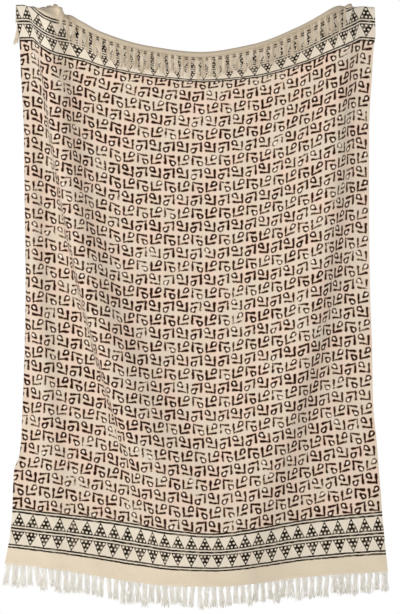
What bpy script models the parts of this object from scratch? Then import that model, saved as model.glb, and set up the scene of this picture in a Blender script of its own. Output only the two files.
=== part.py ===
"""Cotton throw blanket with a fringe at both ends, hanging by its two top corners.

The cloth is one thin sheet. Its top end flops forward in the middle, its two top corners are turned back,
and two broad folds run from the corners down and inwards. Metres, +Z up, the cloth's face towards -Y.
The origin is the middle of the straight line between the two held corners.
"""
import math

import bpy
import numpy as np

# The flat cloth
CLOTH_WIDTH = 1.310
PRINT_CELL = 0.047
FIELD_ROWS = 34
BORDER_DEPTH = 0.122
PLAIN_END = 0.055
THICKNESS = 0.002
UPPER_LINE = PLAIN_END + BORDER_DEPTH
LOWER_LINE = UPPER_LINE + FIELD_ROWS * PRINT_CELL
CLOTH_LENGTH = LOWER_LINE + BORDER_DEPTH + PLAIN_END

# The fringe
STRANDS = 54
STRAND_LENGTH = 0.075
STRAND_LENGTH_SPREAD = 0.010
STRAND_SWAY = 0.005
FIRST_STRAND_SWAY = -0.012
ROOT_WIDTH = 0.007
TIP_WIDTH = 0.012
STRAND_DEPTH = 0.004
ROOT_STRIP = 0.006
SEAM_GAP = 0.0013
CRUSHED_SEAM_GAP = 0.0018
HEM_SEAM_GAP = 0.0008
ROOT_CLEARANCE = 0.001
DROOP_LENGTH = 0.011
STRAND_PATH_STEPS = 41
TOP_STRAND_RINGS = [0.15, 0.4, 1.0]
HEM_STRAND_RINGS = [0.4, 1.0]
FRINGE_SEED = 7

# How the cloth hangs
FOLD_LENGTH = 0.027
COWL_FADE = 0.065
BELLY = 0.030
SIDE_CURL = 0.028
SIDE_TURN = math.radians(165)
TUCK_ONSET = 0.008
STEEPEST = 0.96

# The upper end, a row for each section across the width.
# share: place across, 0 at the left edge and 1 at the right
# line: drop of the border's inner line below the corners
# lean: the border's lean towards the viewer, degrees
# fold_at: length of cloth from that line up to the fold
# turn: which way the free edge points, degrees from straight up, positive towards the viewer
# crush: share of its length that the folded end keeps where it gathers to cross from front to back
UPPER_SECTIONS = np.array(
    [(0.00, 0.118, 4, 0.106, -174, 1.00),
     (0.02, 0.118, 8, 0.106, -160, 1.00),
     (0.04, 0.119, 14, 0.099, -112, 1.00),
     (0.06, 0.135, 20, 0.115, -98, 1.00),
     (0.09, 0.159, 24, 0.123, -66, 1.00),
     (0.12, 0.173, 22, 0.122, -25, 0.90),
     (0.14, 0.177, 21, 0.131, 40, 0.70),
     (0.16, 0.181, 21, 0.143, 135, 0.85),
     (0.19, 0.189, 32, 0.147, 174, 1.00),
     (0.25, 0.214, 43, 0.151, 178, 1.00),
     (0.38, 0.246, 52, 0.153, 178, 1.00),
     (0.52, 0.262, 54, 0.153, 178, 1.00),
     (0.66, 0.247, 49, 0.154, 178, 1.00),
     (0.79, 0.202, 40, 0.155, 178, 1.00),
     (0.87, 0.163, 28, 0.151, 175, 1.00),
     (0.90, 0.148, 17, 0.138, 155, 0.80),
     (0.92, 0.138, 13, 0.122, 70, 0.35),
     (0.94, 0.127, 9, 0.108, -70, 0.30),
     (0.96, 0.117, 5, 0.100, -155, 0.75),
     (1.00, 0.120, 0, 0.101, -174, 1.00)],
    dtype=[("share", float), ("line", float), ("lean", float), ("fold_at", float), ("turn", float),
           ("crush", float)])

# The rows of the print, drop below the corners. middle: the middle row. line: the lower border's inner line.
LOWER_SECTIONS = np.array(
    [(0.00, 1.001, 1.734, 1.910),
     (0.08, 1.012, 1.747, 1.922),
     (0.15, 1.026, 1.757, 1.934),
     (0.26, 1.055, 1.775, 1.958),
     (0.33, 1.079, 1.789, 1.973),
     (0.44, 1.086, 1.811, 1.986),
     (0.54, 1.087, 1.821, 1.988),
     (0.69, 1.070, 1.797, 1.973),
     (0.76, 1.057, 1.782, 1.960),
     (0.83, 1.037, 1.769, 1.952),
     (0.90, 1.018, 1.759, 1.945),
     (1.00, 1.008, 1.747, 1.938)],
    dtype=[("share", float), ("middle", float), ("line", float), ("hem", float)])
MIDDLE_ROW = 18.5

# The two sides, a row for each height. along: length of cloth below the top free edge.
# tuck: width of cloth that the left edge turns behind itself.
SIDES = np.array(
    [(0.00, -0.622, 0.606, 0.000),
     (0.11, -0.618, 0.611, 0.000),
     (0.16, -0.611, 0.612, 0.000),
     (0.21, -0.607, 0.605, 0.000),
     (0.30, -0.603, 0.600, 0.004),
     (0.40, -0.597, 0.593, 0.008),
     (0.50, -0.593, 0.590, 0.011),
     (0.75, -0.590, 0.590, 0.012),
     (1.00, -0.587, 0.593, 0.012),
     (1.20, -0.590, 0.600, 0.012),
     (1.40, -0.597, 0.604, 0.011),
     (1.54, -0.604, 0.617, 0.010),
     (1.59, -0.609, 0.621, 0.008),
     (1.64, -0.627, 0.625, 0.003),
     (1.70, -0.631, 0.630, 0.000),
     (1.77, -0.633, 0.635, 0.000),
     (1.87, -0.643, 0.645, 0.000),
     (1.96, -0.660, 0.655, 0.000)],
    dtype=[("along", float), ("left", float), ("right", float), ("tuck", float)])

# The folds that stand towards the viewer. crest: place across. left and right: width of each flank.
FOLD_COLUMNS = [("along", float), ("crest", float), ("height", float), ("left", float), ("right", float)]
LEFT_FOLD = np.array(
    [(0.10, 0.080, 0.050, 0.062, 0.082),
     (0.18, 0.086, 0.060, 0.064, 0.085),
     (0.27, 0.104, 0.084, 0.069, 0.096),
     (0.44, 0.124, 0.085, 0.066, 0.094),
     (0.63, 0.152, 0.081, 0.062, 0.094),
     (0.85, 0.185, 0.082, 0.060, 0.109),
     (1.07, 0.228, 0.088, 0.061, 0.132),
     (1.28, 0.281, 0.088, 0.069, 0.168),
     (1.52, 0.347, 0.076, 0.083, 0.180),
     (1.70, 0.400, 0.054, 0.090, 0.176),
     (1.96, 0.470, 0.034, 0.100, 0.170)],
    dtype=FOLD_COLUMNS)
RIGHT_FOLD = np.array(
    [(0.10, 0.910, 0.036, 0.095, 0.068),
     (0.18, 0.905, 0.045, 0.100, 0.070),
     (0.27, 0.888, 0.069, 0.124, 0.076),
     (0.44, 0.878, 0.083, 0.163, 0.087),
     (0.63, 0.863, 0.096, 0.192, 0.102),
     (0.85, 0.842, 0.099, 0.217, 0.109),
     (1.07, 0.813, 0.098, 0.235, 0.110),
     (1.28, 0.772, 0.096, 0.240, 0.115),
     (1.52, 0.702, 0.086, 0.240, 0.129),
     (1.70, 0.642, 0.069, 0.235, 0.137),
     (1.96, 0.600, 0.050, 0.220, 0.140)],
    dtype=FOLD_COLUMNS)
EDGE_FOLD = np.array(
    [(0.20, 0.022, 0.008, 0.035, 0.040),
     (0.44, 0.026, 0.020, 0.035, 0.040),
     (0.70, 0.030, 0.025, 0.035, 0.040),
     (1.00, 0.038, 0.028, 0.035, 0.045),
     (1.40, 0.075, 0.028, 0.042, 0.050),
     (1.70, 0.100, 0.016, 0.050, 0.050),
     (1.96, 0.110, 0.010, 0.050, 0.050)],
    dtype=FOLD_COLUMNS)

# The mesh: columns of faces in each band across, and rows in each band along
COLUMN_BANDS = [(0.00, 0.03, 3), (0.03, 0.20, 14), (0.20, 0.45, 10), (0.45, 0.80, 8), (0.80, 1.00, 13)]
ROW_BANDS = [(0.000, 0.075, 12), (0.075, UPPER_LINE, 4), (UPPER_LINE, 0.40, 5), (0.40, 1.54, 16),
             (1.54, 1.66, 4), (1.66, CLOTH_LENGTH, 5)]
FINE_STEP = 0.002
SHARP_ANGLE = math.radians(50)

# Finishes: base colour, roughness
PRINTED_COTTON = ((0.55, 0.44, 0.36, 1.0), 0.9)
LOOSE_YARN = ((0.66, 0.60, 0.52, 1.0), 0.95)


def smooth_between(table, stop_name, value_name, at):
    """A smooth curve through a table's values that never swings past them (monotone cubic)."""
    stops = table[stop_name]
    values = table[value_name].astype(float)
    widths = np.diff(stops)
    slopes = np.diff(values) / widths
    same_way = slopes[:-1] * slopes[1:] > 0
    weight_a = 2 * widths[1:] + widths[:-1]
    weight_b = widths[1:] + 2 * widths[:-1]
    safe_before = np.where(same_way, slopes[:-1], 1.0)
    safe_after = np.where(same_way, slopes[1:], 1.0)
    mean = (weight_a + weight_b) / (weight_a / safe_before + weight_b / safe_after)
    ends = np.zeros(len(stops))
    ends[1:-1] = np.where(same_way, mean, 0.0)
    ends[0] = slopes[0]
    ends[-1] = slopes[-1]
    at = np.clip(at, stops[0], stops[-1])
    i = np.clip(np.searchsorted(stops, at, side="right") - 1, 0, len(stops) - 2)
    w = widths[i]
    t = (at - stops[i]) / w
    rise = values[i] * (2 * t**3 - 3 * t**2 + 1) + values[i + 1] * (3 * t**2 - 2 * t**3)
    bend = ends[i] * w * (t**3 - 2 * t**2 + t) + ends[i + 1] * w * (t**3 - t**2)
    return rise + bend


def ease(t):
    """0 before t = 0, 1 after t = 1, and a soft S between."""
    t = np.clip(t, 0.0, 1.0)
    return t * t * (3 - 2 * t)


def running_sum(values, step, axis):
    """The integral from the start of the axis, by trapezia, with 0 first."""
    values = np.moveaxis(values, axis, 0)
    middle = (values[1:] + values[:-1]) / 2 * step
    total = np.concatenate([np.zeros_like(values[:1]), np.cumsum(middle, axis=0)])
    return np.moveaxis(total, 0, axis)


def fold_relief(table, share, along):
    """How far a fold stands out: a bell across it, with a width of its own on each flank."""
    crest = smooth_between(table, "along", "crest", along)
    height = smooth_between(table, "along", "height", along)
    distance = (share - crest) * CLOTH_WIDTH
    left = smooth_between(table, "along", "left", along)
    right = smooth_between(table, "along", "right", along)
    flank = np.where(distance < 0, left, right)
    return height * np.exp(-(distance / flank) ** 2)


def hang_cloth():
    """The middle surface of the hung cloth on a fine grid: shares across, lengths along, and points.

    Across, a row of cloth keeps its length, so it narrows where a fold slopes. Along, the cloth is followed
    up from the hem by its heading: straight up in the field, leaning out in the border, then over the fold.
    """
    share = np.linspace(0.0, 1.0, round(CLOTH_WIDTH / FINE_STEP) + 1)[None, :]
    along = np.linspace(0.0, CLOTH_LENGTH, round(CLOTH_LENGTH / FINE_STEP) + 1)[:, None]
    step_across = CLOTH_WIDTH * (share[0, 1] - share[0, 0])
    step_along = along[1, 0] - along[0, 0]

    relief = sum(fold_relief(table, share, along) for table in (LEFT_FOLD, RIGHT_FOLD, EDGE_FOLD))
    rise = np.clip(np.gradient(relief, step_across, axis=1), -STEEPEST, STEEPEST)
    tuck = smooth_between(SIDES, "along", "tuck", along)
    tucked = np.clip(tuck / TUCK_ONSET, 0.0, 1.0)
    curl = SIDE_TURN * tucked * ease((tuck + SIDE_CURL / 2 - share * CLOTH_WIDTH) / SIDE_CURL)
    run = running_sum(np.sqrt(1 - rise**2) * np.cos(curl), step_across, axis=1)
    run = run - run.min(axis=1, keepdims=True)
    left = smooth_between(SIDES, "along", "left", along)
    right = smooth_between(SIDES, "along", "right", along)
    x = left + (right - left) * run / run[:, -1:]
    curled = running_sum(np.sin(curl), step_across, axis=1)
    forward = relief + curled - curled[:, -1:]

    line = smooth_between(UPPER_SECTIONS, "share", "line", share)
    lean = np.radians(smooth_between(UPPER_SECTIONS, "share", "lean", share))
    turn = np.radians(smooth_between(UPPER_SECTIONS, "share", "turn", share))
    fold_at = smooth_between(UPPER_SECTIONS, "share", "fold_at", share)
    above = UPPER_LINE - along
    past_fold = ease((above - fold_at) / FOLD_LENGTH)
    crush = smooth_between(UPPER_SECTIONS, "share", "crush", share)
    kept = 1 - (1 - crush) * past_fold
    over = lean + (turn - lean) * past_fold
    heading = np.where(above >= 0, over, lean * np.exp(np.minimum(above, 0.0) / COWL_FADE))
    outward = running_sum(np.sin(heading) * kept, step_along, axis=0)
    forward = forward + outward[-1:] - outward
    depth_share = np.clip(-above / (CLOTH_LENGTH - UPPER_LINE), 0.0, 1.0)
    forward = forward - BELLY * np.sin(math.pi * depth_share) * (1 - (2 * share - 1) ** 2)

    height = running_sum(np.cos(heading) * kept, step_along, axis=0)
    upper_row = int(round(UPPER_LINE / step_along))
    lower_row = int(round(LOWER_LINE / step_along))
    low = smooth_between(LOWER_SECTIONS, "share", "line", share)
    hem = smooth_between(LOWER_SECTIONS, "share", "hem", share)
    middle_row = int(round((UPPER_LINE + MIDDLE_ROW * PRINT_CELL) / step_along))
    middle = smooth_between(LOWER_SECTIONS, "share", "middle", share)
    below = height - height[upper_row:upper_row + 1]
    way = below / below[lower_row:lower_row + 1]
    middle_way = way[middle_row:middle_row + 1]
    bow = middle - line - (low - line) * middle_way
    field = -line - (low - line) * way - bow * way * (1 - way) / (middle_way * (1 - middle_way))
    end = -low - (hem - low) * (along - LOWER_LINE) / (CLOTH_LENGTH - LOWER_LINE)
    z = np.where(along < UPPER_LINE, -line - below, np.where(along > LOWER_LINE, end, field))

    points = np.stack([x, -forward, z], axis=2)
    return share[0], along[:, 0], points


def banded(bands):
    """Stops that divide each band evenly."""
    stops = [np.linspace(start, end, count, endpoint=False) for start, end, count in bands]
    return np.concatenate(stops + [[bands[-1][1]]])


def nearest(values, stops):
    """The index of the fine value nearest to each stop."""
    return np.abs(values[None, :] - stops[:, None]).argmin(axis=1)


def unit(vectors):
    """Vectors of length 1."""
    return vectors / np.linalg.norm(vectors, axis=-1, keepdims=True)


def new_object(name, points, faces, material, collection):
    """A mesh object, shaded smooth but for its sharp edges."""
    mesh = bpy.data.meshes.new(name)
    mesh.from_pydata(points.reshape(-1, 3).tolist(), [], faces)
    mesh.update()
    mesh.materials.append(material)
    mesh.shade_smooth()
    mesh.set_sharp_from_angle(angle=SHARP_ANGLE)
    obj = bpy.data.objects.new(name, mesh)
    collection.objects.link(obj)
    return obj


def finish(name, look):
    """A Principled material of one colour and roughness."""
    colour, roughness = look
    material = bpy.data.materials.new(name)
    material.use_nodes = True
    shader = material.node_tree.nodes["Principled BSDF"]
    shader.inputs["Base Color"].default_value = colour
    shader.inputs["Roughness"].default_value = roughness
    return material


def make_cloth(points, material, collection):
    """The cloth: the hung surface with a Solidify modifier for its thickness."""
    rows, columns = points.shape[:2]
    corner = (np.arange(rows - 1)[:, None] * columns + np.arange(columns - 1)[None, :]).ravel()
    faces = np.stack([corner, corner + columns, corner + columns + 1, corner + 1], axis=1)
    cloth = new_object("cloth", points, faces.tolist(), material, collection)
    wall = cloth.modifiers.new("Thickness", "SOLIDIFY")
    wall.thickness = THICKNESS
    wall.offset = 0.0
    wall.use_even_offset = True
    return cloth


def strand_path(start, outward, length, sway, lengths_along):
    """Points down a strand: it leaves along the cloth, and soon droops straight down."""
    steps = np.linspace(0.0, 1.0, STRAND_PATH_STEPS)
    leaving = math.atan2(-outward[1], outward[2])
    falling = math.pi if leaving >= 0 else -math.pi
    heading = leaving + (falling - leaving) * (1 - np.exp(-steps * length / DROOP_LENGTH))
    forward = running_sum(np.sin(heading), length * steps[1], axis=0)
    upward = running_sum(np.cos(heading), length * steps[1], axis=0)
    sideways = sway * steps**1.5
    path = np.stack([sideways, -forward, upward], axis=1) + start
    return np.stack([np.interp(lengths_along, steps, path[:, axis]) for axis in range(3)], axis=1)


def make_fringe(name, edge, inward, shares, gaps, ring_places, material, collection):
    """One fringe: a narrow strip along the cloth's free edge, with strands drawn out of its outer side.

    The strip has a station at each of the cloth's own columns, so the two edges run side by side, and a
    station at both sides of each strand. A strand that would straddle a column moves beside it.
    """
    rng = np.random.default_rng(FRINGE_SEED)
    lengths = STRAND_LENGTH + STRAND_LENGTH_SPREAD * rng.uniform(-1, 1, STRANDS)
    sways = STRAND_SWAY * rng.uniform(-1, 1, STRANDS)
    sways[0] = FIRST_STRAND_SWAY
    centres = (np.arange(STRANDS) + 0.5) / STRANDS
    clear = (ROOT_WIDTH / 2 + ROOT_CLEARANCE) / CLOTH_WIDTH
    column = shares[nearest(shares, centres)]
    side = np.where(centres < column, -1.0, 1.0)
    centres = np.where(np.abs(centres - column) < clear, column + side * clear, centres)
    half = ROOT_WIDTH / 2 / CLOTH_WIDTH
    stations = np.unique(np.concatenate([shares, centres - half, centres + half]))

    def at_stations(values):
        return np.stack([np.interp(stations, shares, values[:, axis]) for axis in range(3)], axis=1)

    outward = unit(at_stations(unit(edge - inward)))
    along_edge = unit(at_stations(unit(np.gradient(edge, axis=0))))
    thick = unit(np.cross(along_edge, outward)) * THICKNESS / 2
    line = at_stations(edge)
    gap = np.interp(stations, shares, gaps)[:, None]
    inner = line + outward * gap
    outer = line + outward * (gap + ROOT_STRIP)
    ring = np.stack([inner + thick, inner - thick, outer - thick, outer + thick], axis=1)
    points = [ring.reshape(-1, 3)]
    faces = [(3, 2, 1, 0)]
    count = len(stations)
    last = 4 * (count - 1)
    faces.append((last, last + 1, last + 2, last + 3))
    roots = nearest(stations, centres - half)
    for i in range(count - 1):
        a = 4 * i
        b = a + 4
        faces += [(a, a + 1, b + 1, b), (a + 1, a + 2, b + 2, b + 1), (a + 3, a, b, b + 3)]
        if i not in roots:
            faces.append((a + 2, a + 3, b + 3, b + 2))
    total = 4 * count
    for i, length, sway in zip(roots, lengths, sways):
        start = (outer[i] + outer[i + 1]) / 2
        path = strand_path(start, outward[i], length, sway, np.array([0.0] + ring_places))
        across = unit(along_edge[i])
        below = [4 * i + 2, 4 * i + 3, 4 * i + 7, 4 * i + 6]
        for k, place in enumerate(ring_places, start=1):
            heading = unit(path[k] - path[k - 1])
            depth = unit(np.cross(across, heading)) * STRAND_DEPTH / 2
            width = across * (ROOT_WIDTH + (TIP_WIDTH - ROOT_WIDTH) * place) / 2
            centre = path[k]
            points.append(np.array([centre - width - depth, centre - width + depth,
                                    centre + width + depth, centre + width - depth]))
            above = [total, total + 1, total + 2, total + 3]
            for j in range(4):
                faces.append((below[j], below[(j + 1) % 4], above[(j + 1) % 4], above[j]))
            below = above
            total += 4
        faces.append(tuple(below))
    return new_object(name, np.concatenate(points), faces, material, collection)


def main():
    for obj in list(bpy.data.objects):
        bpy.data.objects.remove(obj)
    collection = bpy.data.collections.new("cotton_throw_blanket")
    bpy.context.scene.collection.children.link(collection)
    printed = finish("printed cotton", PRINTED_COTTON)
    yarn = finish("loose yarn", LOOSE_YARN)

    share, along, fine = hang_cloth()
    columns = nearest(share, banded(COLUMN_BANDS))
    rows = nearest(along, banded(ROW_BANDS))
    shares = share[columns]
    points = fine[rows][:, columns]
    make_cloth(points, printed, collection)
    crushed = 1 - smooth_between(UPPER_SECTIONS, "share", "crush", shares)
    top_gaps = SEAM_GAP + (CRUSHED_SEAM_GAP - SEAM_GAP) * crushed
    hem_gaps = np.full(len(shares), HEM_SEAM_GAP)
    make_fringe("top_fringe", points[0], points[1], shares, top_gaps, TOP_STRAND_RINGS, yarn, collection)
    hem, above_hem = points[-1], points[-2]
    make_fringe("bottom_fringe", hem, above_hem, shares, hem_gaps, HEM_STRAND_RINGS, yarn, collection)


main()
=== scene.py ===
# %% [markdown]
# # A cotton throw blanket, hung by its two top corners
#
# The throw is one woven cotton cloth, printed by hand with wooden blocks: a field of small L shapes and
# drops between two borders of dotted triangles, with a plain end and a fringe beyond each border. It hangs
# by its two top corners. Its top end is wider than the gap between them, so it flops forward in the middle.
#
# The solids of the part already have this shape, but coarsely. This lesson lays a finer cloth on the same
# surface, twists the fringe out of yarns, and prints the cloth with shader nodes.

# %% Load the frame
import math

import bpy
import numpy as np
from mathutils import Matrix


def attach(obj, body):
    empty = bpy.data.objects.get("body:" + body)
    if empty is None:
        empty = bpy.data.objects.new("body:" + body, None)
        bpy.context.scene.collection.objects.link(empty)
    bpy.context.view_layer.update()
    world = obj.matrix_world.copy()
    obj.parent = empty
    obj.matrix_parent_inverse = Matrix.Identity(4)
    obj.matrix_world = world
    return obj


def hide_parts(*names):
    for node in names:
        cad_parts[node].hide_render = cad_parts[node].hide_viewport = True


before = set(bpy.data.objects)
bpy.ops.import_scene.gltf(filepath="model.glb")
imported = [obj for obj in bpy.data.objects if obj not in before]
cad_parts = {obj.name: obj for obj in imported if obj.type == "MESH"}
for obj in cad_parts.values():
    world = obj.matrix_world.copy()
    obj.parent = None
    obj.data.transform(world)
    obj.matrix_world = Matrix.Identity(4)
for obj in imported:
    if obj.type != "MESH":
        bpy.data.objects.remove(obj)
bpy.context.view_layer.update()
print("nodes:", sorted(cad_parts))

# %% [markdown]
# ## The flat cloth
#
# A weaver and a printer think of the throw laid flat, and so do we: every place on it is a share across,
# from 0 at the left edge to 1 at the right, and a length along, from 0 at the top free edge. The print and
# the folds are both given in those two numbers, so the print bends with the cloth by itself.

# %% Sizes of the flat cloth, metres
CLOTH_WIDTH = 1.310
PRINT_CELL = 0.047
FIELD_ROWS = 34
BORDER_DEPTH = 0.122
PLAIN_END = 0.055
UPPER_LINE = PLAIN_END + BORDER_DEPTH
LOWER_LINE = UPPER_LINE + FIELD_ROWS * PRINT_CELL
CLOTH_LENGTH = LOWER_LINE + BORDER_DEPTH + PLAIN_END
CLOTH_THICKNESS = 0.0016
print(f"flat cloth: {CLOTH_WIDTH:.2f} x {CLOTH_LENGTH:.2f} m")

# %% [markdown]
# ## How it hangs
#
# The hang is described by short tables: at a few places across, how far the top end leans out and where it
# folds over; at a few heights, where the two sides are and where each fold stands. A smooth curve through
# each table fills in the rest.
#
# Not all of them were set by hand. In the tables of the two broad folds, the rows at 0.27 to 1.70 m along
# were fitted by a separate program to the squeeze of the print, and then smoothed by hand. The leans of the
# rolled middle come from a search that kept the top of the roll at its height. The other rows were set one
# by one, from places and shifts measured against the photograph, or by guess.
#
# A plain spline would overshoot between uneven rows and make ripples that the cloth hasn't. A monotone cubic
# never swings past its points, so that is used.

# %% Tables of the hang
FOLD_LENGTH = 0.027
COWL_FADE = 0.065
BELLY = 0.030
SIDE_CURL = 0.028
SIDE_TURN = math.radians(165)
TUCK_ONSET = 0.008
STEEPEST = 0.96
MIDDLE_ROW = 18.5

UPPER_COLUMNS = [("share", float), ("line", float), ("lean", float), ("fold_at", float), ("turn", float),
                 ("crush", float)]
UPPER_SECTIONS = np.array(
    [(0.00, 0.118, 4, 0.106, -174, 1.00),
     (0.02, 0.118, 8, 0.106, -160, 1.00),
     (0.04, 0.119, 14, 0.099, -112, 1.00),
     (0.06, 0.135, 20, 0.115, -98, 1.00),
     (0.09, 0.159, 24, 0.123, -66, 1.00),
     (0.12, 0.173, 22, 0.122, -25, 0.90),
     (0.14, 0.177, 21, 0.131, 40, 0.70),
     (0.16, 0.181, 21, 0.143, 135, 0.85),
     (0.19, 0.189, 32, 0.147, 174, 1.00),
     (0.25, 0.214, 43, 0.151, 178, 1.00),
     (0.38, 0.246, 52, 0.153, 178, 1.00),
     (0.52, 0.262, 54, 0.153, 178, 1.00),
     (0.66, 0.247, 49, 0.154, 178, 1.00),
     (0.79, 0.202, 40, 0.155, 178, 1.00),
     (0.87, 0.163, 28, 0.151, 175, 1.00),
     (0.90, 0.148, 17, 0.138, 155, 0.80),
     (0.92, 0.138, 13, 0.118, 70, 0.12),
     (0.94, 0.127, 9, 0.104, -70, 0.10),
     (0.96, 0.117, 5, 0.100, -155, 0.75),
     (1.00, 0.120, 0, 0.101, -174, 1.00)],
    dtype=UPPER_COLUMNS)
LOWER_COLUMNS = [("share", float), ("middle", float), ("line", float), ("hem", float)]
LOWER_SECTIONS = np.array(
    [(0.00, 1.001, 1.734, 1.910),
     (0.08, 1.012, 1.747, 1.922),
     (0.15, 1.026, 1.757, 1.934),
     (0.26, 1.055, 1.775, 1.958),
     (0.33, 1.079, 1.789, 1.973),
     (0.44, 1.086, 1.811, 1.986),
     (0.54, 1.087, 1.821, 1.988),
     (0.69, 1.070, 1.797, 1.973),
     (0.76, 1.057, 1.782, 1.960),
     (0.83, 1.037, 1.769, 1.952),
     (0.90, 1.018, 1.759, 1.945),
     (1.00, 1.008, 1.747, 1.938)],
    dtype=LOWER_COLUMNS)
SIDE_COLUMNS = [("along", float), ("left", float), ("right", float), ("tuck", float)]
SIDES = np.array(
    [(0.00, -0.622, 0.606, 0.000),
     (0.11, -0.618, 0.611, 0.000),
     (0.16, -0.611, 0.612, 0.000),
     (0.21, -0.607, 0.605, 0.000),
     (0.30, -0.603, 0.600, 0.004),
     (0.40, -0.597, 0.593, 0.008),
     (0.50, -0.593, 0.590, 0.011),
     (0.75, -0.590, 0.590, 0.012),
     (1.00, -0.587, 0.593, 0.012),
     (1.20, -0.590, 0.600, 0.012),
     (1.40, -0.597, 0.604, 0.011),
     (1.54, -0.604, 0.617, 0.010),
     (1.59, -0.609, 0.621, 0.008),
     (1.64, -0.627, 0.625, 0.003),
     (1.70, -0.631, 0.630, 0.000),
     (1.77, -0.633, 0.635, 0.000),
     (1.87, -0.643, 0.645, 0.000),
     (1.96, -0.660, 0.655, 0.000)],
    dtype=SIDE_COLUMNS)

# %% Tables of the three folds
FOLD_COLUMNS = [("along", float), ("crest", float), ("height", float), ("left", float), ("right", float)]
LEFT_FOLD = np.array(
    [(0.10, 0.080, 0.050, 0.062, 0.082),
     (0.18, 0.086, 0.060, 0.064, 0.085),
     (0.27, 0.104, 0.084, 0.069, 0.096),
     (0.44, 0.124, 0.085, 0.066, 0.094),
     (0.63, 0.152, 0.081, 0.062, 0.094),
     (0.85, 0.185, 0.082, 0.060, 0.109),
     (1.07, 0.228, 0.088, 0.061, 0.132),
     (1.28, 0.281, 0.088, 0.069, 0.168),
     (1.52, 0.347, 0.076, 0.083, 0.180),
     (1.70, 0.400, 0.054, 0.090, 0.176),
     (1.96, 0.470, 0.034, 0.100, 0.170)],
    dtype=FOLD_COLUMNS)
RIGHT_FOLD = np.array(
    [(0.10, 0.910, 0.036, 0.095, 0.068),
     (0.18, 0.905, 0.045, 0.100, 0.070),
     (0.27, 0.888, 0.069, 0.124, 0.076),
     (0.44, 0.878, 0.083, 0.163, 0.087),
     (0.63, 0.863, 0.096, 0.192, 0.102),
     (0.85, 0.842, 0.099, 0.217, 0.109),
     (1.07, 0.813, 0.098, 0.235, 0.110),
     (1.28, 0.772, 0.096, 0.240, 0.115),
     (1.52, 0.702, 0.086, 0.240, 0.129),
     (1.70, 0.642, 0.069, 0.235, 0.137),
     (1.96, 0.600, 0.050, 0.220, 0.140)],
    dtype=FOLD_COLUMNS)
EDGE_FOLD = np.array(
    [(0.20, 0.022, 0.008, 0.035, 0.040),
     (0.44, 0.026, 0.020, 0.035, 0.040),
     (0.70, 0.030, 0.025, 0.035, 0.040),
     (1.00, 0.038, 0.028, 0.035, 0.045),
     (1.40, 0.075, 0.028, 0.042, 0.050),
     (1.70, 0.100, 0.016, 0.050, 0.050),
     (1.96, 0.110, 0.010, 0.050, 0.050)],
    dtype=FOLD_COLUMNS)


# %% How far the blocks of each border were set aside, metres
SLIP_COLUMNS = [("share", float), ("upper", float), ("lower", float)]
BORDER_SLIPS = np.array(
    [(0.00, 0.016, -0.004),
     (0.10, 0.014, -0.002),
     (0.15, 0.016, 0.000),
     (0.22, 0.028, 0.002),
     (0.27, 0.023, 0.003),
     (0.45, 0.010, 0.005),
     (0.66, 0.002, 0.006),
     (0.77, 0.005, 0.013),
     (0.86, 0.011, 0.013),
     (0.90, 0.004, 0.013),
     (0.94, -0.009, 0.013),
     (1.00, 0.001, 0.012)],
    dtype=SLIP_COLUMNS)


# %% Helpers for curves
def smooth_between(table, stop_name, value_name, at):
    """A smooth curve through a table's values that never swings past them.

    Between two rows it is the cubic with the two values and two end slopes. A slope is a weighted harmonic
    mean of the slopes on both sides, and level where those have opposite signs.
    """
    stops = table[stop_name]
    values = table[value_name].astype(float)
    widths = np.diff(stops)
    slopes = np.diff(values) / widths
    same_way = slopes[:-1] * slopes[1:] > 0
    weight_a = 2 * widths[1:] + widths[:-1]
    weight_b = widths[1:] + 2 * widths[:-1]
    safe_before = np.where(same_way, slopes[:-1], 1.0)
    safe_after = np.where(same_way, slopes[1:], 1.0)
    mean = (weight_a + weight_b) / (weight_a / safe_before + weight_b / safe_after)
    ends = np.zeros(len(stops))
    ends[1:-1] = np.where(same_way, mean, 0.0)
    ends[0] = slopes[0]
    ends[-1] = slopes[-1]
    at = np.clip(at, stops[0], stops[-1])
    i = np.clip(np.searchsorted(stops, at, side="right") - 1, 0, len(stops) - 2)
    w = widths[i]
    t = (at - stops[i]) / w
    rise = values[i] * (2 * t**3 - 3 * t**2 + 1) + values[i + 1] * (3 * t**2 - 2 * t**3)
    bend = ends[i] * w * (t**3 - 2 * t**2 + t) + ends[i + 1] * w * (t**3 - t**2)
    return rise + bend


def ease(t):
    """0 before t = 0, 1 after t = 1, and the soft S of 3t² - 2t³ between."""
    t = np.clip(t, 0.0, 1.0)
    return t * t * (3 - 2 * t)


def running_sum(values, step, axis):
    """The integral from the start of the axis, by trapezia, with 0 first."""
    values = np.moveaxis(values, axis, 0)
    middle = (values[1:] + values[:-1]) / 2 * step
    total = np.concatenate([np.zeros_like(values[:1]), np.cumsum(middle, axis=0)])
    return np.moveaxis(total, 0, axis)


def unit(vectors):
    """Vectors of length 1."""
    return vectors / np.linalg.norm(vectors, axis=-1, keepdims=True)


# %% [markdown]
# ## Folds
#
# A fold is a ridge that runs down the cloth, steep on one side and gentle on the other. Its height is a bell,
# height times e to the power of -(distance / flank)², with a width of its own for each flank. Folds add up.
#
# Cloth doesn't stretch. Where a fold slopes, the same width of cloth covers less of the view, so x can't just
# be the share times the width. It is the running sum of the level part of each small step: the square root of
# 1 - rise². That squeezes the print on the steep flank, as on the real throw.


# %% Fold relief
def fold_relief(table, share, along):
    """How far a fold stands out: a bell across it, with a width of its own on each flank."""
    crest = smooth_between(table, "along", "crest", along)
    height = smooth_between(table, "along", "height", along)
    distance = (share - crest) * CLOTH_WIDTH
    left = smooth_between(table, "along", "left", along)
    right = smooth_between(table, "along", "right", along)
    flank = np.where(distance < 0, left, right)
    return height * np.exp(-(distance / flank) ** 2)


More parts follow.
